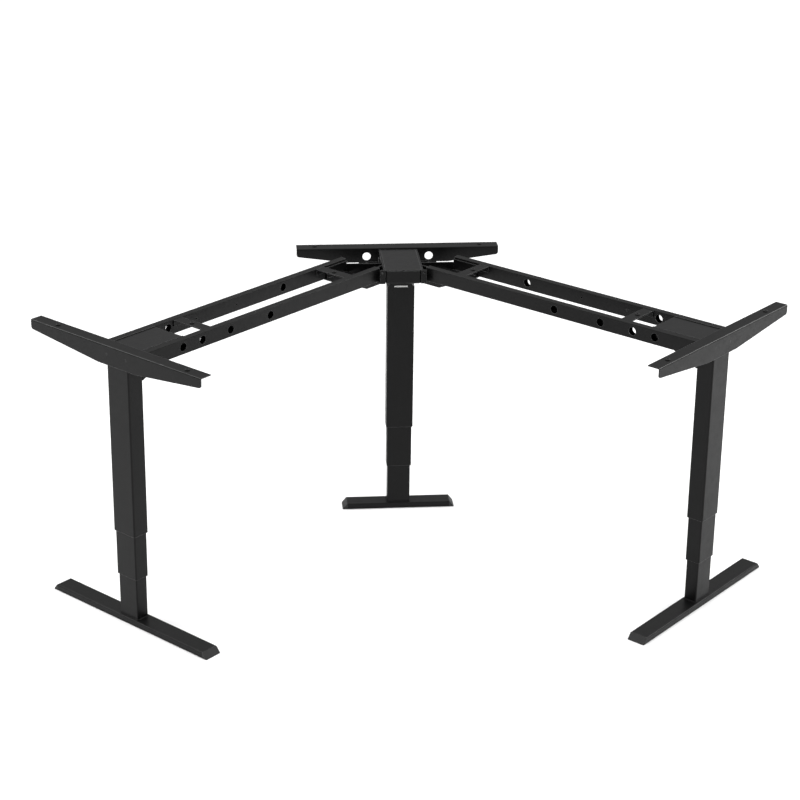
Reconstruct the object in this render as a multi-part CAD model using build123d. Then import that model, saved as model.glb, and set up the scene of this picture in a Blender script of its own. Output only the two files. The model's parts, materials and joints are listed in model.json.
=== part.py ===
"""Height adjustable corner desk frame: three telescopic legs joined by two beams.

Every leg is modelled in its own frame: X along the foot, Y outward to the top bracket, Z up,
with the origin on the column axis at floor level.  The corner leg's frame is the row frame.
"""
import os
from math import cos, radians, sin, sqrt

from build123d import *

os.makedirs("parts", exist_ok=True)

# ---- overall layout (mm) ----
top_height = 793.0
beam_angle = 45.0
leg_distance = 1091.0
beam_origin_back = 96.0
adjust_travel = 100.0

# ---- columns ----
outer_width = 80.0
outer_depth = 50.0
stage_step = 3.0
tube_wall = 1.5
outer_corner = 4.0
corner_step = 0.5
neck_half_width = 31.0
neck_start = 712.0
outer_bottom = 267.0
middle_bottom = 139.0
middle_length = 468.0
inner_overlap = 345.0
guide_height = 60.0
guide_clearance = 0.1
bearing_thickness = 6.0

# ---- drive inside each column ----
shaft_radius = 6.0
shaft_bottom = 370.0
shaft_entry = 7.0
spindle_radius = 11.0
spindle_bore_clearance = 0.6
spindle_neck_radius = 9.0
spindle_bottom = 229.0
collar_radius = 13.0
collar_height = 5.0
nut_height = 20.0
running_clearance = 0.05
nut_clearance = 0.1

# ---- feet ----
foot_width = 52.0
foot_height = 18.0
foot_wall = 2.0
foot_corner = 3.0
side_foot_length = 600.0
corner_foot_length = 340.0
foot_end_slope = 14.0
cap_plug_depth = 16.0
base_plate_thickness = 6.0
foot_bolt_side_margin = 12.0
foot_bolt_spacing_y = 18.0
foot_bolt_radius = 4.0
foot_bolt_head_radius = 6.5
foot_bolt_head_height = 5.0
foot_bolt_extra = 2.0
foot_bolt_socket_radius = 2.9
foot_bolt_socket_depth = 3.0
foot_hole_clearance = 0.4
access_hole_radius = 7.5
thread_clearance = 0.02

# ---- motor housings on top of the columns ----
housing_height = 45.0
housing_wall = 3.0
housing_corner = 8.0
corner_housing_half = 52.0
side_housing_inner = 158.0
side_housing_outer = outer_depth / 2
corner_housing_inner = 98.0
corner_housing_outer = 98.0
cover_drop = 2.0
cover_thickness = 3.0
cover_gap = 0.2
cover_corner = 6.0
cover_notch_width = 8.0
cover_notch_depth = 3.0
shaft_opening_radius = 16.0
gearbox_width = 60.0
gearbox_depth = 44.0
gearbox_height = 32.0
motor_radius = 17.0
motor_end_gap = 8.0
gusset_length = 90.0
gusset_thickness = 3.0
gusset_depth = 45.0
gusset_tip = 4.0

# ---- top brackets ----
sheet = 3.0
side_bracket_near = 308.0
side_bracket_far = 332.0
side_flange_width = 36.0
side_bracket_end_depth = 27.0
side_bracket_overlap = 6.0
side_bracket_flat = 70.0
corner_bracket_length = 600.0
corner_flange_width = 40.0
corner_bracket_end_depth = 25.0
corner_bracket_low_depth = 45.0
corner_bracket_low_start = 150.0
corner_bracket_mid_depth = 65.0
corner_bracket_mid_start = 116.0
bracket_corner = 8.0
bend_radius = 4.0
side_flange_hole_offset = 243.0
corner_flange_hole_offset = 246.0
cable_hole_radius = 12.4
cable_hole_offset = 92.5
cable_hole_drop = 26.5
bracket_bolt_radius = 3.0
bracket_bolt_head_radius = 5.5
bracket_bolt_head_height = 4.0
bracket_bolt_spacing = 72.0
bracket_bolt_drop = 24.0
bracket_bolt_skin = 0.5
bracket_bolt_socket = 2.2

# ---- rubber grommets that carry the desk top ----
grommet_radius = 6.5
grommet_neck_radius = 5.0
grommet_bore_radius = 3.0
grommet_rise = 3.0
grommet_lower_lip = 2.0
grommet_clearance = 0.05
grommet_rounding = 1.0

# ---- beams ----
rail_height = 42.0
rail_width = 20.0
rail_wall = 1.8
rail_corner = 2.5
rail_gap = 110.0
rail_outer_end = 22.0
rail_end_setback = 171.0
rail_big_radius = 11.5
rail_small_radius = 3.0
rail_outer_wall_holes = (138.0, 209.0, 313.0, 466.0)
rail_through_hole = 209.0
rail_cable_hole = 655.0
rail_small_holes = (313.0, 466.0)
rail_slot_margin = 4.0
rail_bolt_stations = (108.0, 138.0)
rail_bolt_radius = 3.0
rail_bolt_clearance = 0.4
rail_bolt_head_radius = 5.5
rail_bolt_head_height = 4.0
rail_nut_height = 5.0
crossbar_stations = (243.0, 808.0)
crossbar_width = 32.0
crossbar_drop = 2.0
crossbar_lip = 18.0

# ---- beam couplers at the corner leg ----
coupler_thickness = 4.0
coupler_flange_thickness = 5.0
coupler_grip = 85.0
coupler_tray_length = 94.0
coupler_top_drop = 7.0
coupler_flange_drop = 2.0
coupler_wall_drop = 16.0
coupler_depth = 54.0
coupler_step_start_back = 58.0
coupler_step_end_back = 32.0
coupler_step_height = 8.0
coupler_front_low = 2.0
coupler_slope_end = -40.0
coupler_lip_width = 10.0
coupler_lip_thickness = 3.0
coupler_lip_hole_radius = 3.0
coupler_lip_hole_inset = 4.0
coupler_lip_hole_drop = 9.0
ear_reach = 105.0
ear_height = 23.0
ear_corner = 10.0
ear_bolt_offset = 92.0
ear_bolt_rise = 12.0
ear_bolt_head_radius = 10.0
ear_bolt_head_height = 7.0
ear_bolt_crown = 4.0
coupler_bolt_front = -80.0
coupler_bolt_back = 60.0
coupler_bolt_margin = 8.1
coupler_socket_radius = 2.5
coupler_socket_depth = 2.5
coupler_bolt_radius = 4.0
coupler_bolt_head_radius = 6.5
coupler_bolt_head_height = 4.0
coupler_bolt_hole_clearance = 0.3
coupler_nut_height = 6.0

# ---- label on the corner column ----
label_width = 39.0
label_height = 4.6
label_top = 716.0
label_thickness = 0.3

# ---- values that follow from the ones above ----
rail_top = top_height - sheet
rail_inner_end = leg_distance - rail_end_setback
side_bracket_mid_depth = sheet + housing_height + side_bracket_overlap
rail_bottom = rail_top - rail_height
rail_middle = rail_top - rail_height / 2
side_housing_half = rail_gap / 2 - cover_gap
housing_top = rail_top
housing_bottom = housing_top - housing_height
outer_top = housing_bottom
middle_top = middle_bottom + middle_length
inner_top = middle_bottom + inner_overlap
middle_width = outer_width - 2 * stage_step
middle_depth = outer_depth - 2 * stage_step
inner_width = middle_width - 2 * stage_step
inner_depth = middle_depth - 2 * stage_step
foot_bolt_spacing_x = inner_width - 2 * foot_bolt_side_margin
middle_corner = outer_corner - corner_step
inner_corner = middle_corner - corner_step
side_bracket_plane = outer_depth / 2
corner_bracket_plane = corner_housing_outer
side_flange_hole_y = side_bracket_plane + sheet - side_flange_width / 2
corner_flange_hole_y = corner_bracket_plane + corner_flange_width * 0.6
crossbar_top = rail_top - crossbar_drop
coupler_low = rail_top - coupler_top_drop - coupler_depth
ear_bolt_height = coupler_low + ear_bolt_rise
coupler_outside = corner_housing_half + coupler_flange_thickness
coupler_start = rail_inner_end - coupler_grip
coupler_tray_start = rail_inner_end - coupler_tray_length
coupler_step_start = rail_inner_end - coupler_step_start_back
coupler_step_end = rail_inner_end - coupler_step_end_back
near_cheek_line = beam_origin_back - sqrt(2) * (rail_gap / 2 - coupler_thickness)
coupler_bolt_middle = near_cheek_line - coupler_outside + coupler_bolt_margin
coupler_bolt_stations = (coupler_bolt_front, coupler_bolt_middle, coupler_bolt_back)
shaft_top = housing_bottom + housing_wall + shaft_entry
diagonal_x = leg_distance * cos(radians(beam_angle))
diagonal_y = leg_distance * sin(radians(beam_angle))
side_leg_y = beam_origin_back - diagonal_y


class Leg:
    """Where a leg stands and how its local frame is turned."""

    def __init__(self, name, x, y, turn, near, foot_length):
        self.name = name
        self.x = x
        self.y = y
        self.turn = turn
        self.near = near
        self.foot_length = foot_length
        self.is_corner = name == "corner"

    def place(self, shape):
        return Pos(self.x, self.y, 0) * Rot(0, 0, self.turn) * shape


def block(x0, x1, y0, y1, z0, z1):
    """Axis-aligned block between the given limits."""
    centre = ((x0 + x1) / 2, (y0 + y1) / 2, (z0 + z1) / 2)
    return Pos(*centre) * Box(abs(x1 - x0), abs(y1 - y0), abs(z1 - z0))


def upright(width, depth, corner, z0, z1):
    """Vertical bar with a rounded rectangular section."""
    return extrude(Plane.XY.offset(z0) * RectangleRounded(width, depth, corner), z1 - z0)


def hollow_upright(width, depth, corner, wall, z0, z1):
    """Vertical rectangular tube."""
    hollow = upright(width - 2 * wall, depth - 2 * wall, corner - wall, z0 - 1, z1 + 1)
    return upright(width, depth, corner, z0, z1) - hollow


def necked_upright(width, depth, corner, neck_half, z0, z1):
    """Vertical bar whose sides slope in to a narrower neck near the top."""
    half = width / 2
    slope_end = neck_start + half - neck_half
    profile = [
        (-half, z0),
        (half, z0),
        (half, neck_start),
        (neck_half, slope_end),
        (neck_half, z1),
        (-neck_half, z1),
        (-neck_half, slope_end),
        (-half, neck_start),
    ]
    return upright(width, depth, corner, z0, z1) & plate_xz(profile, -depth, depth)


def outline(points):
    """Closed outline with its points put in counter-clockwise order."""
    pairs = zip(points, points[1:] + points[:1])
    area = sum(a[0] * b[1] - b[0] * a[1] for a, b in pairs)
    if area < 0:
        points = points[::-1]
    return Polygon(*points, align=None)


def plate_xz(points, y0, y1):
    """Flat plate drawn in X and Z, from y0 to y1."""
    return extrude(Plane.XZ.offset(-y1) * outline(points), y1 - y0)


def plate_yz(points, x0, x1):
    """Flat plate drawn in Y and Z, from x0 to x1."""
    return extrude(Plane.YZ.offset(x0) * outline(points), x1 - x0)


def rod_x(y, z, radius, x0, x1):
    """Round bar along X."""
    return Pos((x0 + x1) / 2, y, z) * Rot(0, 90, 0) * Cylinder(radius, abs(x1 - x0))


def rod_y(x, z, radius, y0, y1):
    """Round bar along Y."""
    return Pos(x, (y0 + y1) / 2, z) * Rot(90, 0, 0) * Cylinder(radius, abs(y1 - y0))


def rod_z(x, y, radius, z0, z1):
    """Round bar along Z."""
    return Pos(x, y, (z0 + z1) / 2) * Cylinder(radius, abs(z1 - z0))


def corners(spacing_x, spacing_y):
    """The four corners of a centred rectangle."""
    return [(sx * spacing_x / 2, sy * spacing_y / 2) for sx in (-1, 1) for sy in (-1, 1)]


# ---- base stage ----

def foot_profile(margin):
    """Section of the foot bar, shrunk by the margin, as a sketch in Y and Z."""
    section = RectangleRounded(
        foot_width - 2 * margin, foot_height - 2 * margin, foot_corner - margin
    )
    return Pos(0, foot_height / 2) * section


def foot_bar(length, margin):
    """Bar along X with the foot's section."""
    return extrude(Plane.YZ.offset(-length / 2) * foot_profile(margin), length)


def make_foot(leg):
    tube_length = leg.foot_length - 2 * foot_end_slope
    foot = foot_bar(tube_length, 0) - foot_bar(tube_length + 2, foot_wall)
    for x, y in corners(foot_bolt_spacing_x, foot_bolt_spacing_y):
        clear_hole = foot_bolt_radius + foot_hole_clearance
        foot -= rod_z(x, y, clear_hole, foot_height - foot_wall - 1, foot_height + 1)
        foot -= rod_z(x, y, access_hole_radius, -1, foot_wall + 1)
    return foot


def make_foot_end_caps(leg):
    half = leg.foot_length / 2
    tube_half = half - foot_end_slope
    full = foot_bar(leg.foot_length, 0)
    caps = []
    for side in (-1, 1):
        wedge = plate_xz(
            [(side * tube_half, -1), (side * half, 0), (side * tube_half, foot_height)],
            -foot_width / 2,
            foot_width / 2,
        )
        lower = block(side * tube_half, side * half, -foot_width, foot_width, -1, 0)
        nose = (wedge - lower) & full
        plug = foot_bar(2 * tube_half, foot_wall)
        plug &= block(
            side * tube_half,
            side * (tube_half - cap_plug_depth),
            -foot_width,
            foot_width,
            0,
            foot_height,
        )
        caps.append(nose + plug)
    return caps


def make_foot_bolts(leg):
    seat = foot_height - foot_wall
    tip = foot_height + base_plate_thickness + foot_bolt_extra
    bolts = []
    for x, y in corners(foot_bolt_spacing_x, foot_bolt_spacing_y):
        bolt = rod_z(x, y, foot_bolt_head_radius, seat - foot_bolt_head_height, seat)
        bolt += rod_z(x, y, foot_bolt_radius, seat, tip)
        drive = Pos(x, y, seat - foot_bolt_head_height) * extrude(
            RegularPolygon(foot_bolt_socket_radius, 6), foot_bolt_socket_depth
        )
        bolts.append(bolt - drive)
    return bolts


def make_inner_tube(leg):
    tube = hollow_upright(inner_width, inner_depth, inner_corner, tube_wall, foot_height, inner_top)
    plate = upright(
        inner_width - 2 * tube_wall,
        inner_depth - 2 * tube_wall,
        inner_corner - tube_wall,
        foot_height,
        foot_height + base_plate_thickness,
    )
    for x, y in corners(foot_bolt_spacing_x, foot_bolt_spacing_y):
        plate -= rod_z(x, y, foot_bolt_radius + thread_clearance, foot_height - 1, foot_height + 20)
    return tube + plate


def make_inner_nut(leg):
    nut = upright(
        inner_width - 2 * tube_wall,
        inner_depth - 2 * tube_wall,
        inner_corner - tube_wall,
        inner_top - nut_height,
        inner_top,
    )
    return nut - rod_z(0, 0, spindle_radius + nut_clearance, inner_top - 50, inner_top + 1)


def guide_ring(width, depth, corner, top):
    """Plastic collar that fills the gap between two tubes, less its clearance."""
    reach = stage_step - tube_wall - guide_clearance
    bottom = top - guide_height
    ring = upright(width + 2 * reach, depth + 2 * reach, corner, bottom, top)
    return ring - upright(width, depth, corner, bottom - 1, top + 1)


def make_inner_guides(leg):
    return guide_ring(inner_width, inner_depth, inner_corner, inner_top)


# ---- middle stage ----

def make_middle_tube(leg):
    tube = hollow_upright(
        middle_width, middle_depth, middle_corner, tube_wall, middle_bottom, middle_top
    )
    plate = upright(
        middle_width - 2 * tube_wall,
        middle_depth - 2 * tube_wall,
        middle_corner - tube_wall,
        middle_top - bearing_thickness,
        middle_top,
    )
    bore = spindle_neck_radius + running_clearance
    plate -= rod_z(0, 0, bore, middle_top - 50, middle_top + 1)
    return tube + plate


def make_middle_spindle(leg):
    shoulder = middle_top - bearing_thickness
    spindle = rod_z(0, 0, spindle_radius, spindle_bottom, shoulder)
    spindle += rod_z(0, 0, spindle_neck_radius, shoulder, middle_top)
    spindle += rod_z(0, 0, collar_radius, middle_top, middle_top + collar_height)
    bore = shaft_radius + spindle_bore_clearance
    return spindle - rod_z(0, 0, bore, spindle_bottom - 1, middle_top + 20)


def make_middle_guides(leg):
    return guide_ring(middle_width, middle_depth, middle_corner, middle_top)


# ---- head: outer tube, motor, housing and bracket ----

def housing_limits(leg):
    """Inner and outer end of a leg's motor housing along its Y axis."""
    if leg.is_corner:
        return -corner_housing_inner, corner_housing_outer
    return -side_housing_inner, side_housing_outer


def make_outer_tube(leg):
    if not leg.is_corner:
        return hollow_upright(
            outer_width, outer_depth, outer_corner, tube_wall, outer_bottom, outer_top
        )
    skin = necked_upright(
        outer_width, outer_depth, outer_corner, neck_half_width, outer_bottom, outer_top
    )
    hollow = necked_upright(
        outer_width - 2 * tube_wall,
        outer_depth - 2 * tube_wall,
        outer_corner - tube_wall,
        neck_half_width - tube_wall,
        outer_bottom - 1,
        outer_top + 1,
    )
    return skin - hollow


def make_drive_shaft(leg):
    return rod_z(0, 0, shaft_radius, shaft_bottom, shaft_top)


def make_motor(leg):
    inner_end, _ = housing_limits(leg)
    floor = housing_bottom + housing_wall
    gearbox = block(
        -gearbox_width / 2,
        gearbox_width / 2,
        -gearbox_depth / 2,
        side_housing_outer - 2 * housing_wall,
        floor,
        floor + gearbox_height,
    )
    axis_height = floor + gearbox_height / 2 + 1.5
    front = inner_end + motor_end_gap
    can = rod_y(0, axis_height, motor_radius, front, -gearbox_depth / 2)
    can += rod_y(0, axis_height, motor_radius / 2, front - 3, front)
    bore = shaft_radius + thread_clearance
    return gearbox + can - rod_z(0, 0, bore, floor - 1, shaft_top)


def housing_half_width(leg):
    """Half the width of a leg's motor housing."""
    return corner_housing_half if leg.is_corner else side_housing_half


def gusset(side):
    """Stiffening plate between a side leg's column and its housing."""
    outside = side * outer_width / 2
    inside = outside - side * gusset_thickness
    shape = [
        (-outer_depth / 2, housing_bottom + 1),
        (-outer_depth / 2, housing_bottom - gusset_depth),
        (-outer_depth / 2 - gusset_length, housing_bottom - gusset_tip),
        (-outer_depth / 2 - gusset_length, housing_bottom + 1),
    ]
    return plate_yz(shape, *sorted([outside, inside]))


def make_housing(leg):
    inner_end, outer_end = housing_limits(leg)
    half = housing_half_width(leg)
    shell = block(-half, half, inner_end, outer_end, housing_bottom, housing_top)
    if leg.is_corner:
        rounded = shell.edges().filter_by(Axis.Y).group_by(Axis.Z)[0]
        rounded += shell.edges().filter_by(Axis.X).group_by(Axis.Z)[0].sort_by(Axis.Y)[:1]
        rounded += shell.edges().filter_by(Axis.Z).group_by(Axis.Y)[0]
    else:
        rounded = shell.edges().filter_by(Axis.Y).group_by(Axis.Z)[0]
    shell = fillet(rounded, housing_corner)
    inside = half - housing_wall
    hollow = block(
        -inside,
        inside,
        inner_end + housing_wall,
        outer_end - housing_wall,
        housing_bottom + housing_wall,
        housing_top + 1,
    )
    low_edges = hollow.edges().filter_by(Axis.Y).group_by(Axis.Z)[0]
    hollow = fillet(low_edges, housing_corner - housing_wall)
    shell -= hollow
    ledge = housing_top - cover_drop - cover_thickness
    ledge_half = half + 1 if leg.is_corner else inside
    shell -= block(-ledge_half, ledge_half, inner_end - 1, outer_end + 1, ledge, housing_top + 1)
    shell -= rod_z(0, 0, shaft_opening_radius, housing_bottom - 1, housing_bottom + 5)
    for side in (-1, 1):
        wall = (side * (inside - 1), side * (half + 1))
        if leg.is_corner:
            for y in coupler_bolt_stations:
                hole = coupler_bolt_radius + coupler_bolt_hole_clearance
                shell -= rod_x(y, rail_middle, hole, *wall)
        else:
            shell += gusset(side)
            for station in rail_bolt_stations:
                hole = rail_bolt_radius + rail_bolt_clearance
                shell -= rod_x(-station, rail_middle, hole, *wall)
    for x in (-bracket_bolt_spacing / 2, bracket_bolt_spacing / 2):
        hole = bracket_bolt_radius + rail_bolt_clearance
        shell -= rod_y(x, top_height - bracket_bolt_drop, hole, outer_end - 5, outer_end + 1)
    return shell


def make_motor_cover(leg):
    inner_end, outer_end = housing_limits(leg)
    half = housing_half_width(leg)
    inside = half if leg.is_corner else half - housing_wall - cover_gap
    low = housing_top - cover_drop - cover_thickness
    cover = block(-inside, inside, inner_end, outer_end, low, low + cover_thickness)
    cover = fillet(cover.edges().filter_by(Axis.Z).group_by(Axis.Y)[0], cover_corner)
    cover -= block(
        -cover_notch_width / 2,
        cover_notch_width / 2,
        inner_end - 1,
        inner_end + cover_notch_depth,
        low - 1,
        low + cover_thickness + 1,
    )
    return cover


def grommet_hole(x, y, top):
    """Hole for one grommet through a sheet whose upper face is at the given height."""
    return rod_z(x, y, grommet_neck_radius + grommet_clearance, top - sheet - 1, top + 1)


def grommet(x, y, top):
    """Rubber ring clipped into a hole, with a bore for the desk top's screw."""
    ring = rod_z(x, y, grommet_radius, top, top + grommet_rise)
    ring = fillet(ring.edges().group_by(Axis.Z)[-1], grommet_rounding)
    ring += rod_z(x, y, grommet_neck_radius, top - sheet, top)
    ring += rod_z(x, y, grommet_radius, top - sheet - grommet_lower_lip, top - sheet)
    return ring - rod_z(x, y, grommet_bore_radius, top - 20, top + 20)


def make_grommets(leg):
    """Grommets in the flange of a leg's top bracket."""
    y = corner_flange_hole_y if leg.is_corner else side_flange_hole_y
    offset = corner_flange_hole_offset if leg.is_corner else side_flange_hole_offset
    return [grommet(side * offset, y, top_height) for side in (-1, 1)]


def make_crossbar_grommets(leg):
    """Grommets in the middle of a beam's crossbars."""
    return [grommet(0, -station, crossbar_top) for station in crossbar_stations]


def bracket_bolt_hole(x, plane):
    """Blind threaded hole that holds one bracket bolt."""
    end = plane + sheet - bracket_bolt_skin
    radius = bracket_bolt_radius + thread_clearance
    return rod_y(x, top_height - bracket_bolt_drop, radius, plane - 1, end)


def make_side_bracket(leg):
    plane = side_bracket_plane
    if leg.near > 0:
        low_x, high_x = -side_bracket_far, side_bracket_near
    else:
        low_x, high_x = -side_bracket_near, side_bracket_far
    end_z = top_height - side_bracket_end_depth
    mid_z = top_height - side_bracket_mid_depth
    shape = outline([
        (low_x, top_height),
        (low_x, end_z),
        (-side_bracket_flat, mid_z),
        (side_bracket_flat, mid_z),
        (high_x, end_z),
        (high_x, top_height),
    ])
    tips = [v for v in shape.vertices() if abs(v.X) > 200 and v.Y < top_height - 1]
    shape = fillet(tips, bracket_corner)
    web = extrude(Plane.XZ.offset(-(plane + sheet)) * shape, sheet)
    flange_back = plane + sheet - side_flange_width
    flange = block(low_x, high_x, flange_back, plane + sheet, rail_top, top_height)
    bracket = web + flange
    bend = bracket.edges().filter_by(Axis.X).sort_by(Axis.Z)
    bend = [e for e in bend if abs(e.center().Z - top_height) < 0.01]
    bend = [e for e in bend if abs(e.center().Y - plane - sheet) < 0.01]
    bracket = fillet(bend, bend_radius)
    hole_y = side_flange_hole_y
    for side in (-1, 1):
        x = side * side_flange_hole_offset
        bracket -= grommet_hole(x, hole_y, top_height)
        bracket -= bracket_bolt_hole(side * bracket_bolt_spacing / 2, plane)
    return bracket


def make_corner_bracket(leg):
    plane = corner_bracket_plane
    half = corner_bracket_length / 2
    shape = outline([
        (-half, top_height),
        (-half, top_height - corner_bracket_end_depth),
        (-corner_bracket_low_start, top_height - corner_bracket_low_depth),
        (-corner_bracket_mid_start, top_height - corner_bracket_low_depth),
        (-corner_bracket_mid_start + 4, top_height - corner_bracket_mid_depth),
        (corner_bracket_mid_start - 4, top_height - corner_bracket_mid_depth),
        (corner_bracket_mid_start, top_height - corner_bracket_low_depth),
        (corner_bracket_low_start, top_height - corner_bracket_low_depth),
        (half, top_height - corner_bracket_end_depth),
        (half, top_height),
    ])
    tips = [v for v in shape.vertices() if abs(v.X) > half - 1 and v.Y < top_height - 1]
    shape = fillet(tips, bracket_corner)
    web = extrude(Plane.XZ.offset(-(plane + sheet)) * shape, sheet)
    flange = block(-half, half, plane, plane + corner_flange_width, rail_top, top_height)
    bracket = web + flange
    bend = bracket.edges().filter_by(Axis.X)
    bend = [e for e in bend if abs(e.center().Z - top_height) < 0.01]
    bend = [e for e in bend if abs(e.center().Y - plane) < 0.01]
    bracket = fillet(bend, bend_radius)
    hole_z = top_height - cable_hole_drop
    hole_y = corner_flange_hole_y
    for side in (-1, 1):
        bracket -= rod_y(side * cable_hole_offset, hole_z, cable_hole_radius, plane - 1, plane + 5)
        ear_hole = coupler_bolt_radius + thread_clearance
        bracket -= rod_y(side * ear_bolt_offset, ear_bolt_height, ear_hole, plane - 1, plane + 5)
        x = side * corner_flange_hole_offset
        bracket -= grommet_hole(x, hole_y, top_height)
        bracket -= bracket_bolt_hole(side * bracket_bolt_spacing / 2, plane)
    return bracket


def make_bracket(leg):
    if leg.is_corner:
        return make_corner_bracket(leg)
    return make_side_bracket(leg)


def make_bracket_bolts(leg):
    _, outer_end = housing_limits(leg)
    wall_face = outer_end - housing_wall
    tip = outer_end + sheet - bracket_bolt_skin - 0.1
    z = top_height - bracket_bolt_drop
    bolts = []
    for x in (-bracket_bolt_spacing / 2, bracket_bolt_spacing / 2):
        head_start = wall_face - bracket_bolt_head_height
        bolt = rod_y(x, z, bracket_bolt_head_radius, head_start, wall_face)
        bolt += rod_y(x, z, bracket_bolt_radius, wall_face, tip)
        socket_floor = head_start + bracket_bolt_socket
        bolts.append(bolt - rod_y(x, z, bracket_bolt_socket, head_start - 1, socket_floor))
    return bolts


# ---- beams, in the frame of the side leg they carry ----

def make_rail(side, is_back):
    """One rectangular rail; side is the sign of its X position."""
    centre = side * (rail_gap / 2 + rail_width / 2)
    length = rail_outer_end + rail_inner_end
    outer_skin = RectangleRounded(rail_width, rail_height, rail_corner)
    inner_skin = RectangleRounded(
        rail_width - 2 * rail_wall, rail_height - 2 * rail_wall, rail_corner - rail_wall
    )
    section = Plane.XZ.offset(-rail_outer_end) * Pos(centre, rail_middle) * (outer_skin - inner_skin)
    rail = extrude(section, length)
    inner_face = side * rail_gap / 2
    outer_face = side * (rail_gap / 2 + rail_width)
    inner_wall = (inner_face - side, inner_face + side * (rail_wall + 1))
    outer_wall = (outer_face - side * (rail_wall + 1), outer_face + side)
    for station in rail_outer_wall_holes:
        rail -= rod_x(-station, rail_middle, rail_big_radius, *outer_wall)
    rail -= rod_x(-rail_through_hole, rail_middle, rail_big_radius, *inner_wall)
    rail -= rod_x(-rail_cable_hole, rail_middle, rail_big_radius, *inner_wall)
    if is_back:
        rail -= rod_x(-rail_cable_hole, rail_middle, rail_big_radius, *outer_wall)
    for station in rail_small_holes:
        rail -= rod_x(-station, rail_middle, rail_small_radius, *inner_wall)
    slot_radius = rail_bolt_radius + rail_bolt_clearance
    first = min(rail_bolt_stations) - adjust_travel - rail_slot_margin + slot_radius
    last = max(rail_bolt_stations) + rail_slot_margin - slot_radius
    slot = rod_x(-first, rail_middle, slot_radius, *inner_wall)
    slot += rod_x(-last, rail_middle, slot_radius, *inner_wall)
    slot += block(
        *inner_wall, -last, -first, rail_middle - slot_radius, rail_middle + slot_radius
    )
    return rail - slot


def make_rails(leg):
    return [make_rail(leg.near, False), make_rail(-leg.near, True)]


def make_crossbars(leg):
    half = rail_gap / 2
    top = crossbar_top
    bars = []
    for station in crossbar_stations:
        y0 = -station - crossbar_width / 2
        y1 = -station + crossbar_width / 2
        bar = block(-half, half, y0, y1, top - crossbar_lip, top)
        inside = half - sheet
        bar -= block(-inside, inside, y0 - 1, y1 + 1, top - crossbar_lip - 1, top - sheet)
        bar -= grommet_hole(0, -station, top)
        bars.append(bar)
    return bars


def make_rail_bolts(leg):
    bolts = []
    wall_inside = rail_gap / 2 + rail_wall
    plate_inside = side_housing_half - housing_wall
    for side in (-1, 1):
        for station in rail_bolt_stations:
            y = -station
            head_end = wall_inside + rail_bolt_head_height
            bolt = rod_x(y, rail_middle, rail_bolt_head_radius, side * wall_inside, side * head_end)
            bolt += rod_x(
                y,
                rail_middle,
                rail_bolt_radius,
                side * (plate_inside - rail_nut_height - 1),
                side * wall_inside,
            )
            nut_span = (side * (plate_inside - rail_nut_height), side * plate_inside)
            bolt += rod_x(y, rail_middle, rail_bolt_head_radius, *nut_span)
            bolts.append(bolt)
    return bolts


def coupler_beam_plates(leg):
    """Cheeks and tray that hold the rails' ends, in the side leg's frame."""
    near = leg.near
    half = rail_gap / 2
    inner = half - coupler_thickness
    top = rail_top - coupler_top_drop
    cheek_end = rail_inner_end + rail_gap
    near_shape = [
        (-coupler_start, top),
        (-coupler_start, rail_bottom),
        (-coupler_step_start, rail_bottom - coupler_step_height),
        (-coupler_step_end, coupler_low),
        (-cheek_end, coupler_low),
        (-cheek_end, top),
    ]
    near_cheek = plate_yz(near_shape, *sorted([near * half, near * inner]))
    far_cheek = block(
        -near * half, -near * inner, -rail_inner_end, -coupler_start, rail_bottom, top
    )
    tray = block(-half, half, -rail_inner_end, -coupler_tray_start, rail_bottom, rail_bottom + sheet)
    return near_cheek + far_cheek + tray


def coupler_flange(side):
    """Side plate on the corner housing, with a front lip and an ear on the bracket."""
    face = corner_housing_half
    top = rail_top - coupler_flange_drop
    front_low = housing_bottom + coupler_front_low
    front = -corner_housing_inner
    back = corner_bracket_plane
    shape = [
        (front, top),
        (front, front_low),
        (coupler_slope_end, coupler_low),
        (back, coupler_low),
        (back, top),
    ]
    faces = sorted([side * face, side * coupler_outside])
    plate = plate_yz(shape, *faces)
    lip_end = coupler_outside + coupler_lip_width
    lip = block(
        side * face, side * lip_end, front, front + coupler_lip_thickness, front_low, top
    )
    hole_x = side * (coupler_outside + coupler_lip_hole_inset)
    hole_z = top - coupler_lip_hole_drop
    lip -= rod_y(hole_x, hole_z, coupler_lip_hole_radius, front - 1, front + 5)
    ear = block(
        side * face, side * ear_reach, back - sheet, back, coupler_low, coupler_low + ear_height
    )
    outer_edges = ear.edges().filter_by(Axis.Y).sort_by(Axis.X)
    outer_edges = outer_edges[-2:] if side > 0 else outer_edges[:2]
    ear = fillet(outer_edges, ear_corner)
    ear_hole = coupler_bolt_radius + coupler_bolt_hole_clearance
    ear -= rod_y(side * ear_bolt_offset, ear_bolt_height, ear_hole, back - 5, back + 1)
    return plate + lip + ear


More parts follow.
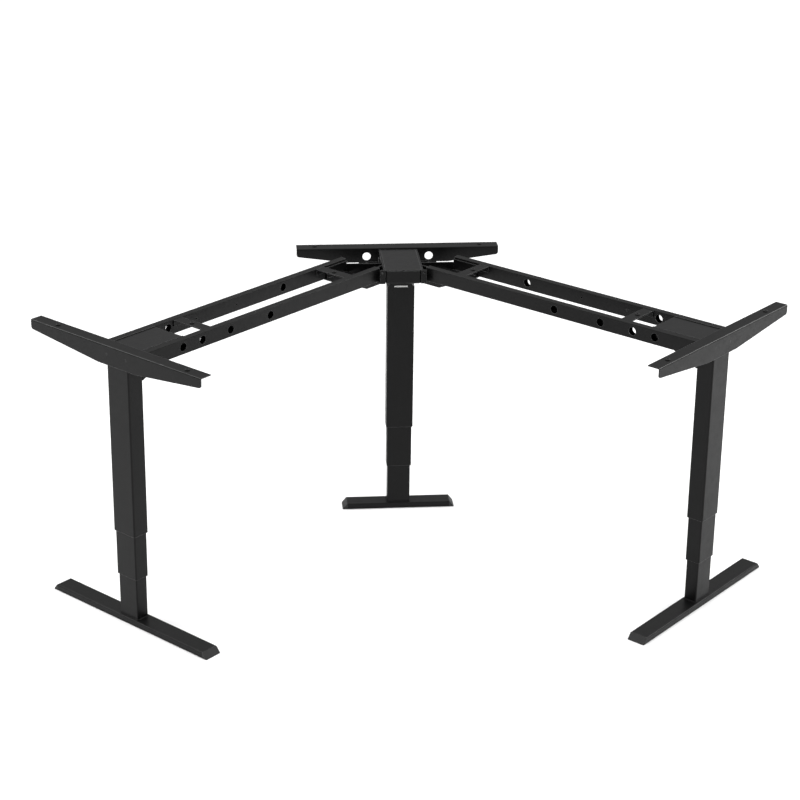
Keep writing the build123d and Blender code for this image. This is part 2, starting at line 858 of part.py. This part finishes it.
def make_coupler(leg):
    """Folded plate that joins the rails' ends to the side of the corner housing."""
    side = 1 if leg.x > 0 else -1
    half = rail_gap / 2
    plates = leg.place(coupler_beam_plates(leg))
    plates -= block(
        -side * leg_distance, side * corner_housing_half, -leg_distance, leg_distance, 0, top_height
    )
    far_corner = leg.place(Vertex(-leg.near * half, -rail_inner_end, 0)).center()
    near_corner = leg.place(
        Vertex(leg.near * (half - coupler_thickness / 2), -coupler_step_end, 0)
    ).center()
    wall = block(
        side * corner_housing_half,
        far_corner.X,
        far_corner.Y - coupler_thickness,
        far_corner.Y,
        coupler_low,
        rail_top - coupler_wall_drop,
    )
    middle = coupler_outside - coupler_flange_thickness / 2
    floor_outline = outline([
        (near_corner.X, near_corner.Y),
        (side * middle, coupler_slope_end + coupler_thickness),
        (side * middle, far_corner.Y),
        (far_corner.X, far_corner.Y),
    ])
    floor = extrude(Plane.XY.offset(coupler_low) * floor_outline, sheet)
    coupler = plates + coupler_flange(side) + wall + floor
    for y in coupler_bolt_stations:
        hole = coupler_bolt_radius + coupler_bolt_hole_clearance
        coupler -= rod_x(
            y, rail_middle, hole, side * (corner_housing_half - 1), side * (coupler_outside + 1)
        )
    return coupler


def make_coupler_bolts(leg):
    side = 1 if leg.x > 0 else -1
    inside = corner_housing_half - housing_wall
    bolts = []
    for y in coupler_bolt_stations:
        head_end = coupler_outside + coupler_bolt_head_height
        nut_end = inside - coupler_nut_height
        bolt = rod_x(
            y, rail_middle, coupler_bolt_head_radius, side * coupler_outside, side * head_end
        )
        bolt += rod_x(
            y, rail_middle, coupler_bolt_radius, side * (nut_end - 1), side * coupler_outside
        )
        bolt += rod_x(y, rail_middle, coupler_bolt_head_radius, side * nut_end, side * inside)
        socket_floor = head_end - coupler_socket_depth
        bolt -= rod_x(
            y, rail_middle, coupler_socket_radius, side * socket_floor, side * (head_end + 1)
        )
        bolts.append(bolt)
    ear_face = corner_bracket_plane - sheet
    x = side * ear_bolt_offset
    head = rod_y(
        x, ear_bolt_height, ear_bolt_head_radius, ear_face - ear_bolt_head_height, ear_face
    )
    head = fillet(head.edges().sort_by(Axis.Y)[0], ear_bolt_crown)
    shank_end = corner_bracket_plane + sheet
    bolts.append(head + rod_y(x, ear_bolt_height, coupler_bolt_radius, ear_face, shank_end))
    return bolts


def make_label(leg):
    front = -outer_depth / 2
    return block(
        -label_width / 2,
        label_width / 2,
        front - label_thickness,
        front,
        label_top - label_height,
        label_top,
    )


# ---- write every sub-part ----

def as_group(shapes):
    """One compound that holds every separate solid of the shapes."""
    return Compound(children=[solid for shape in shapes for solid in shape.solids()])


def save(name, leg, made):
    """Write one sub-part, a single solid or a group of separate ones, in the row frame."""
    if isinstance(made, list):
        shape = as_group([leg.place(piece) for piece in made])
    else:
        shape = leg.place(made)
    shape.label = name
    export_step(shape, f"parts/{name}.step")


corner_leg = Leg("corner", 0.0, 0.0, 0.0, 1, corner_foot_length)
side_legs = [
    Leg("left", -diagonal_x, side_leg_y, 90.0 + beam_angle, -1, side_foot_length),
    Leg("right", diagonal_x, side_leg_y, -90.0 - beam_angle, 1, side_foot_length),
]

leg_parts = {
    "foot": make_foot,
    "foot_end_caps": make_foot_end_caps,
    "foot_bolts": make_foot_bolts,
    "inner_tube": make_inner_tube,
    "inner_nut": make_inner_nut,
    "inner_guides": make_inner_guides,
    "middle_tube": make_middle_tube,
    "middle_spindle": make_middle_spindle,
    "middle_guides": make_middle_guides,
    "outer_tube": make_outer_tube,
    "drive_shaft": make_drive_shaft,
    "motor": make_motor,
    "motor_housing": make_housing,
    "motor_cover": make_motor_cover,
    "top_bracket": make_bracket,
}

beam_parts = {
    "rails": make_rails,
    "crossbars": make_crossbars,
}

for one_leg in [corner_leg] + side_legs:
    for part_name, maker in leg_parts.items():
        save(f"{one_leg.name}_{part_name}", one_leg, maker(one_leg))

for one_leg in side_legs:
    for part_name, maker in beam_parts.items():
        save(f"{one_leg.name}_{part_name}", one_leg, maker(one_leg))
    save(f"{one_leg.name}_head_bolts", one_leg, make_bracket_bolts(one_leg) + make_rail_bolts(one_leg))
    save(f"{one_leg.name}_grommets", one_leg, make_grommets(one_leg))
    save(f"{one_leg.name}_coupler", corner_leg, make_coupler(one_leg))
    save(f"{one_leg.name}_coupler_bolts", corner_leg, make_coupler_bolts(one_leg))

save("corner_head_bolts", corner_leg, make_bracket_bolts(corner_leg))
save("corner_column_label", corner_leg, make_label(corner_leg))
top_grommets = make_grommets(corner_leg)
for one_leg in side_legs:
    top_grommets += [one_leg.place(ring) for ring in make_crossbar_grommets(one_leg)]
save("corner_grommets", corner_leg, top_grommets)
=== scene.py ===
"""Looks for the corner desk frame: finishes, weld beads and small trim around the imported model.

Everything is in metres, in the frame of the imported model: +X right, +Y back, +Z up.
"""
import json
from math import cos, pi, radians, sin

import bpy
from mathutils import Matrix, Vector


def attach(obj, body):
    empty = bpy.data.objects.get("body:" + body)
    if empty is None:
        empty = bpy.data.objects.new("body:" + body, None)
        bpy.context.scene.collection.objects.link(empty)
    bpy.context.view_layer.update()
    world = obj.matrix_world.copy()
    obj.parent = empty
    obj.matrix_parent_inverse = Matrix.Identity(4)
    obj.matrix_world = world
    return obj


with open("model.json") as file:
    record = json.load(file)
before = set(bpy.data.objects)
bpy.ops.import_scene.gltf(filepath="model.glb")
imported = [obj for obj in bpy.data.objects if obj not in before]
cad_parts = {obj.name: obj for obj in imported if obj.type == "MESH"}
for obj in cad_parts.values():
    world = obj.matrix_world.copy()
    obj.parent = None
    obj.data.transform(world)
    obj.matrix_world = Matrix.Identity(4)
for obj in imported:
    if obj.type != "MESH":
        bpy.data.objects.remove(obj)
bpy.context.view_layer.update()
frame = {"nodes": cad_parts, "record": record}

NODES = frame["nodes"]

# ---- legs: where each stands, how it is turned, and the bodies of its foot and its head ----
LEGS = {
    "corner": (0.0, 0.0, 0.0, "corner_base", "top_frame"),
    "left": (-0.77145, -0.67545, 135.0, "left_base", "left_head"),
    "right": (0.77145, -0.67545, -135.0, "right_base", "right_head"),
}
BEAM_LEGS = ("left", "right")

# ---- small pieces (m) ----
FOOT_WELD = (0.068, 0.038, 0.003, 0.018)
HEAD_WELD = (0.080, 0.050, 0.004, 0.745)
NECK_WELD = (0.062, 0.050, 0.004, 0.745)
BEAD_RADIUS = 0.0024
BEAD_RIPPLE = 0.16
BEAD_PITCH = 0.0045
BEAD_STEP = 0.0012
BEAD_SIDES = 8
PLUG_SIZE = (0.0196, 0.0416, 0.0025)
PLUG_OFFSET = 0.065
PLUG_STATION = 0.920
PLUG_HEIGHT = 0.769
PLUG_STEPS = ((0.0, 0.0), (0.0011, 0.0), (0.0016, 0.0006), (0.0016, 0.0028), (0.0011, 0.0032))
CORNER_STEPS = 5
LEAST_CORNER = 0.0004

# ---- camera ----
CAMERA_PLACE = (-0.4924, -5.4355, 2.6027)
CAMERA_HEADING = 5.179
CAMERA_TILT = -20.15
CAMERA_ROLL = 0.685
LENS = 88.62
SHIFT = (0.0, -0.1)

# ---- light ----
ZENITH_GLOW = 2.3
HORIZON_GLOW = 0.1
FLOOR_TONE = 0.9
FLOOR_SIZE = 60.0
SOFTBOX_SIZE = (0.7, 1.3)
SOFTBOX_POWER = 55.0
LEFT_BOX = ((-2.93, 0.03, 2.59), (-0.77, -0.68, 0.79))
RIGHT_BOX = ((3.14, 0.28, 2.16), (0.77, -0.68, 0.79))

# ---- painted highlight along sharp edges of the coat ----
HIGHLIGHT_EDGE_RADIUS = 0.002
EDGE_HIGHLIGHT_TONE = 0.12


# ---- node helpers ----

class Shader:
    """A node material under construction, with its Principled shader and object coordinates."""

    def __init__(self, name):
        self.material = bpy.data.materials.new(name)
        self.material.use_nodes = True
        self.tree = self.material.node_tree
        self.principled = self.tree.nodes["Principled BSDF"]
        self.coordinates = self.tree.nodes.new("ShaderNodeTexCoord").outputs["Object"]

    def add(self, kind, **settings):
        node = self.tree.nodes.new(kind)
        for key, value in settings.items():
            setattr(node, key, value)
        return node

    def link(self, source, target):
        self.tree.links.new(source, target)

    def set(self, **values):
        for key, value in values.items():
            self.principled.inputs[key.replace("_", " ")].default_value = value

    def noise(self, scale, detail=3.0, rough=0.5, stretch=(1, 1, 1)):
        """Noise value over the object's own coordinates."""
        mapping = self.add("ShaderNodeMapping")
        mapping.inputs["Scale"].default_value = stretch
        self.link(self.coordinates, mapping.inputs["Vector"])
        noise = self.add("ShaderNodeTexNoise")
        noise.inputs["Scale"].default_value = scale
        noise.inputs["Detail"].default_value = detail
        noise.inputs["Roughness"].default_value = rough
        self.link(mapping.outputs["Vector"], noise.inputs["Vector"])
        return noise.outputs["Fac"]

    def span(self, value, low, high, from_low=0.3, from_high=0.7):
        """The value spread from one range to another."""
        node = self.add("ShaderNodeMapRange")
        node.inputs["From Min"].default_value = from_low
        node.inputs["From Max"].default_value = from_high
        node.inputs["To Min"].default_value = low
        node.inputs["To Max"].default_value = high
        self.link(value, node.inputs["Value"])
        return node.outputs["Result"]

    def ramp(self, value, stops):
        """Colours along the value."""
        node = self.add("ShaderNodeValToRGB")
        elements = node.color_ramp.elements
        while len(elements) < len(stops):
            elements.new(0.5)
        for element, (place, colour) in zip(elements, stops):
            element.position = place
            element.color = (*colour, 1.0)
        self.link(value, node.inputs["Fac"])
        return node.outputs["Color"]

    def bump(self, height, strength, distance, below=None):
        node = self.add("ShaderNodeBump")
        node.inputs["Strength"].default_value = strength
        node.inputs["Distance"].default_value = distance
        self.link(height, node.inputs["Height"])
        if below is not None:
            self.link(below, node.inputs["Normal"])
        return node.outputs["Normal"]

    def soft_edges(self, radius):
        node = self.add("ShaderNodeBevel", samples=6)
        node.inputs["Radius"].default_value = radius
        return node.outputs["Normal"]


    def edges(self, radius, low, high):
        """A colour or number that changes from low on flat faces to high along sharp edges."""
        rounded = self.add("ShaderNodeBevel", samples=6)
        rounded.inputs["Radius"].default_value = radius
        flat = self.add("ShaderNodeNewGeometry").outputs["Normal"]
        agreement = self.add("ShaderNodeVectorMath", operation="DOT_PRODUCT")
        self.link(rounded.outputs["Normal"], agreement.inputs[0])
        self.link(flat, agreement.inputs[1])
        return self.span(agreement.outputs["Value"], high, low, 0.75, 0.97)


def grey(value):
    return (value, value, value * 1.02)


def powder_coat(name, tone, gloss=0.42, specular=0.5):
    """Fine-textured powder coat: orange peel, faint clouding, slightly uneven gloss, and a painted
    highlight that lightens the colour along sharp edges.
    """
    s = Shader(name)
    s.set(Specular_IOR_Level=specular, Metallic=0.0)
    clouds = s.noise(7.0, 4.0, 0.6)
    flat_colour = s.ramp(clouds, [(0.3, grey(tone * 0.82)), (0.55, grey(tone)), (0.75, grey(tone * 1.25))])
    # The mix node's colour inputs are its sockets 6 and 7, and its colour output is socket 2.
    # Painted highlight: the colour turns to a lighter grey along sharp edges, standing in for light
    # glinting on rounded bends.
    painted_edge_highlight = s.add("ShaderNodeMix", data_type="RGBA")
    s.link(s.edges(HIGHLIGHT_EDGE_RADIUS, 0.0, 1.0), painted_edge_highlight.inputs["Factor"])
    s.link(flat_colour, painted_edge_highlight.inputs[6])
    painted_edge_highlight.inputs[7].default_value = (*grey(EDGE_HIGHLIGHT_TONE), 1.0)
    s.link(painted_edge_highlight.outputs[2], s.principled.inputs["Base Color"])
    s.link(s.span(s.noise(45.0, 4.0, 0.65), gloss - 0.05, gloss + 0.07), s.principled.inputs["Roughness"])
    normal = s.bump(s.noise(650.0, 2.0, 0.5), 0.16, 0.0006, s.soft_edges(0.0014))
    normal = s.bump(s.noise(2400.0, 1.0, 0.5), 0.1, 0.0002, normal)
    s.link(normal, s.principled.inputs["Normal"])
    return s.material


def moulded_plastic(name, tone, rough=0.55):
    """Spark-eroded moulded plastic with a dull grain."""
    s = Shader(name)
    s.set(Specular_IOR_Level=0.45)
    s.link(
        s.ramp(s.noise(30.0), [(0.3, grey(tone * 0.85)), (0.7, grey(tone * 1.15))]),
        s.principled.inputs["Base Color"],
    )
    s.link(s.span(s.noise(120.0), rough - 0.06, rough + 0.08), s.principled.inputs["Roughness"])
    s.link(s.bump(s.noise(1500.0, 2.0), 0.25, 0.0003, s.soft_edges(0.0008)), s.principled.inputs["Normal"])
    return s.material


def acetal(name, colour):
    """Natural white bearing plastic, waxy and slightly see-through."""
    s = Shader(name)
    s.set(Specular_IOR_Level=0.5, Subsurface_Weight=0.1, Subsurface_Scale=0.004)
    low = tuple(c * 0.93 for c in colour)
    s.link(s.ramp(s.noise(18.0), [(0.3, low), (0.7, colour)]), s.principled.inputs["Base Color"])
    s.link(s.span(s.noise(80.0), 0.34, 0.45), s.principled.inputs["Roughness"])
    s.link(s.bump(s.noise(500.0), 0.1, 0.0003), s.principled.inputs["Normal"])
    return s.material


def plated_steel(name, colour, rough, streak):
    """Zinc-plated or drawn steel with fine lines along one axis."""
    s = Shader(name)
    s.set(Metallic=1.0)
    low = tuple(c * 0.85 for c in colour)
    lines = s.noise(240.0, 3.0, 0.6, streak)
    s.link(s.ramp(lines, [(0.3, low), (0.7, colour)]), s.principled.inputs["Base Color"])
    s.link(s.span(lines, rough - 0.06, rough + 0.08), s.principled.inputs["Roughness"])
    s.link(s.bump(lines, 0.15, 0.0002, s.soft_edges(0.0005)), s.principled.inputs["Normal"])
    return s.material


def cast_metal(name, tone):
    """Die-cast gearbox metal, sandy and grey."""
    s = Shader(name)
    s.set(Metallic=0.85)
    s.link(
        s.ramp(s.noise(60.0, 5.0), [(0.3, grey(tone * 0.8)), (0.7, grey(tone))]),
        s.principled.inputs["Base Color"],
    )
    s.link(s.span(s.noise(90.0), 0.45, 0.6), s.principled.inputs["Roughness"])
    s.link(s.bump(s.noise(900.0), 0.35, 0.0004), s.principled.inputs["Normal"])
    return s.material


def paper_film(name):
    """Blank label film with a faint grey mottle."""
    s = Shader(name)
    s.set(Specular_IOR_Level=0.5)
    s.link(
        s.ramp(s.noise(160.0), [(0.3, (0.62, 0.62, 0.61)), (0.7, (0.8, 0.8, 0.79))]),
        s.principled.inputs["Base Color"],
    )
    s.link(s.span(s.noise(60.0), 0.4, 0.5), s.principled.inputs["Roughness"])
    return s.material


def floor_paper():
    """Pale seamless backdrop paper."""
    s = Shader("floor_paper")
    s.set(Specular_IOR_Level=0.1)
    low = FLOOR_TONE * 0.99
    s.link(
        s.ramp(s.noise(3.0), [(0.3, (low, low, low)), (0.7, (FLOOR_TONE, FLOOR_TONE, FLOOR_TONE))]),
        s.principled.inputs["Base Color"],
    )
    s.link(s.span(s.noise(9.0), 0.8, 0.9), s.principled.inputs["Roughness"])
    return s.material


FINISHES = {
    "powder_coat": powder_coat("powder_coat", 0.004, 0.34, 0.16),
    "cover_coat": powder_coat("cover_coat", 0.006, 0.32, 0.21),
    "cap_plastic": moulded_plastic("cap_plastic", 0.006),
    "rubber": moulded_plastic("rubber", 0.005, 0.65),
    "guide_plastic": acetal("guide_plastic", (0.74, 0.74, 0.7)),
    "nut_plastic": acetal("nut_plastic", (0.62, 0.6, 0.52)),
    "zinc_steel": plated_steel("zinc_steel", (0.6, 0.61, 0.63), 0.32, (1, 1, 0.05)),
    "bright_steel": plated_steel("bright_steel", (0.68, 0.68, 0.69), 0.2, (1, 1, 0.03)),
    "motor_grey": cast_metal("motor_grey", 0.4),
    "black_screw": powder_coat("black_screw", 0.006, 0.32, 0.4),
    "label_white": paper_film("label_white"),
}


def dress_nodes():
    """Give every CAD node the finish of its material slot."""
    slots = {row["node"]: row["material_slot"] for row in frame["record"]["subparts"]}
    for name, node in NODES.items():
        node.data.materials.clear()
        node.data.materials.append(FINISHES[slots[name]])


# ---- small pieces ----

def rounded_rectangle(width, depth, corner):
    """Points of a rounded rectangle round the origin, anticlockwise, with their outward directions."""
    points = []
    for quarter, (sx, sy) in enumerate([(1, 1), (-1, 1), (-1, -1), (1, -1)]):
        for step in range(CORNER_STEPS + 1):
            angle = (quarter + step / CORNER_STEPS) * pi / 2
            out = Vector((cos(angle), sin(angle)))
            centre = Vector((sx * (width / 2 - corner), sy * (depth / 2 - corner)))
            points.append((centre + out * corner, out))
    return points


def evenly_spaced(points, step):
    """The closed outline sampled about every step, each sample with its direction and distance."""
    samples = []
    travelled = 0.0
    for (start, out_start), (end, out_end) in zip(points, points[1:] + points[:1]):
        length = (end - start).length
        count = max(1, round(length / step))
        for k in range(count):
            share = k / count
            out = out_start.lerp(out_end, share).normalized()
            samples.append((start.lerp(end, share), out, travelled + length * share))
        travelled += length
    return samples


def add_piece(name, vertices, faces, finish, placing, body):
    """A smooth-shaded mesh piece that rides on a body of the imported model."""
    mesh = bpy.data.meshes.new(name)
    mesh.from_pydata(vertices, [], faces)
    mesh.polygons.foreach_set("use_smooth", [True] * len(mesh.polygons))
    mesh.materials.append(FINISHES[finish])
    piece = bpy.data.objects.new(name, mesh)
    piece.matrix_world = placing
    bpy.context.scene.collection.objects.link(piece)
    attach(piece, body)


def leg_placing(leg):
    x, y, turn = LEGS[leg][:3]
    return Matrix.Translation((x, y, 0)) @ Matrix.Rotation(radians(turn), 4, "Z")


def add_weld(name, leg, weld, body):
    """Rippled weld bead round a column, where it meets its foot or its housing."""
    width, depth, corner, height = weld
    samples = evenly_spaced(rounded_rectangle(width, depth, corner), BEAD_STEP)
    vertices = []
    for place, out, travelled in samples:
        radius = BEAD_RADIUS * (1 + BEAD_RIPPLE * sin(2 * pi * travelled / BEAD_PITCH))
        for side in range(BEAD_SIDES):
            angle = 2 * pi * side / BEAD_SIDES
            flat = place + out * radius * cos(angle)
            vertices.append((flat.x, flat.y, height + radius * sin(angle)))
    faces = []
    for ring in range(len(samples)):
        following = (ring + 1) % len(samples)
        for side in range(BEAD_SIDES):
            beside = (side + 1) % BEAD_SIDES
            faces.append((
                ring * BEAD_SIDES + side,
                following * BEAD_SIDES + side,
                following * BEAD_SIDES + beside,
                ring * BEAD_SIDES + beside,
            ))
    add_piece(name, vertices, faces, "powder_coat", leg_placing(leg), body)


def add_plug(name, leg, x):
    """Plastic plug with a rounded lip and a sunk face, in the inner end of one rail."""
    width, height, corner = PLUG_SIZE
    vertices = []
    for rise, inset in PLUG_STEPS:
        ring = rounded_rectangle(width - 2 * inset, height - 2 * inset, max(corner - inset, LEAST_CORNER))
        for place, _ in ring:
            vertices.append((x + place.x, -PLUG_STATION - rise, PLUG_HEIGHT + place.y))
    count = len(vertices) // len(PLUG_STEPS)
    faces = []
    for level in range(len(PLUG_STEPS) - 1):
        for k in range(count):
            low, next_k = level * count, (k + 1) % count
            faces.append((low + k, low + next_k, low + count + next_k, low + count + k))
    faces.append(tuple(range(len(vertices) - count, len(vertices))))
    add_piece(name, vertices, faces, "cap_plastic", leg_placing(leg), "top_frame")


def add_small_pieces():
    """Weld beads on every leg, and a plug in the inner end of every rail."""
    for leg, (_, _, _, foot_body, head_body) in LEGS.items():
        add_weld(f"{leg}_foot_weld", leg, FOOT_WELD, foot_body)
        add_weld(f"{leg}_head_weld", leg, NECK_WELD if leg == "corner" else HEAD_WELD, head_body)
    for leg in BEAM_LEGS:
        add_plug(f"{leg}_rail_plug_a", leg, -PLUG_OFFSET)
        add_plug(f"{leg}_rail_plug_b", leg, PLUG_OFFSET)


# ---- stage ----

def add_floor():
    """Plain pale floor, far larger than the object."""
    mesh = bpy.data.meshes.new("floor")
    half = FLOOR_SIZE / 2
    corners = [(-half, -half, 0), (half, -half, 0), (half, half, 0), (-half, half, 0)]
    mesh.from_pydata(corners, [], [(0, 1, 2, 3)])
    floor = bpy.data.objects.new("floor", mesh)
    bpy.context.scene.collection.objects.link(floor)
    mesh.materials.append(floor_paper())


def add_world():
    """Soft sky that is brightest overhead and dim towards the horizon."""
    world = bpy.data.worlds.new("studio")
    world.use_nodes = True
    background = world.node_tree.nodes["Background"]
    add = world.node_tree.nodes.new
    link = world.node_tree.links.new
    direction = add("ShaderNodeTexCoord").outputs["Generated"]
    parts = add("ShaderNodeSeparateXYZ")
    link(direction, parts.inputs["Vector"])
    squared = add("ShaderNodeMath")
    squared.operation = "MULTIPLY"
    link(parts.outputs["Z"], squared.inputs[0])
    link(parts.outputs["Z"], squared.inputs[1])
    glow = add("ShaderNodeMapRange")
    glow.inputs["To Min"].default_value = HORIZON_GLOW
    glow.inputs["To Max"].default_value = ZENITH_GLOW
    link(squared.outputs["Value"], glow.inputs["Value"])
    background.inputs["Color"].default_value = (1, 1, 1, 1)
    link(glow.outputs["Result"], background.inputs["Strength"])
    bpy.context.scene.world = world


def add_softbox(name, place, aim):
    """Rectangular studio light at a place, turned towards the point that it lights."""
    light = bpy.data.lights.new(name, "AREA")
    light.shape = "RECTANGLE"
    light.size, light.size_y = SOFTBOX_SIZE
    light.energy = SOFTBOX_POWER
    lamp = bpy.data.objects.new(name, light)
    lamp.location = place
    direction = Vector(aim) - Vector(place)
    lamp.rotation_euler = direction.to_track_quat("-Z", "Y").to_euler()
    bpy.context.scene.collection.objects.link(lamp)


def add_lights():
    add_softbox("left_box", *LEFT_BOX)
    add_softbox("right_box", *RIGHT_BOX)


def add_camera():
    data = bpy.data.cameras.new("camera")
    data.sensor_width = 36.0
    data.lens = LENS
    data.shift_x, data.shift_y = SHIFT
    data.clip_end = 100.0
    camera = bpy.data.objects.new("camera", data)
    heading = Matrix.Rotation(radians(-CAMERA_HEADING), 4, "Z")
    tilt = Matrix.Rotation(radians(90 + CAMERA_TILT), 4, "X")
    roll = Matrix.Rotation(radians(CAMERA_ROLL), 4, "Z")
    camera.matrix_world = Matrix.Translation(CAMERA_PLACE) @ heading @ tilt @ roll
    bpy.context.scene.collection.objects.link(camera)
    bpy.context.scene.camera = camera


dress_nodes()
add_small_pieces()
add_floor()
add_world()
add_lights()
add_camera()
bpy.context.scene.view_settings.view_transform = "Standard"
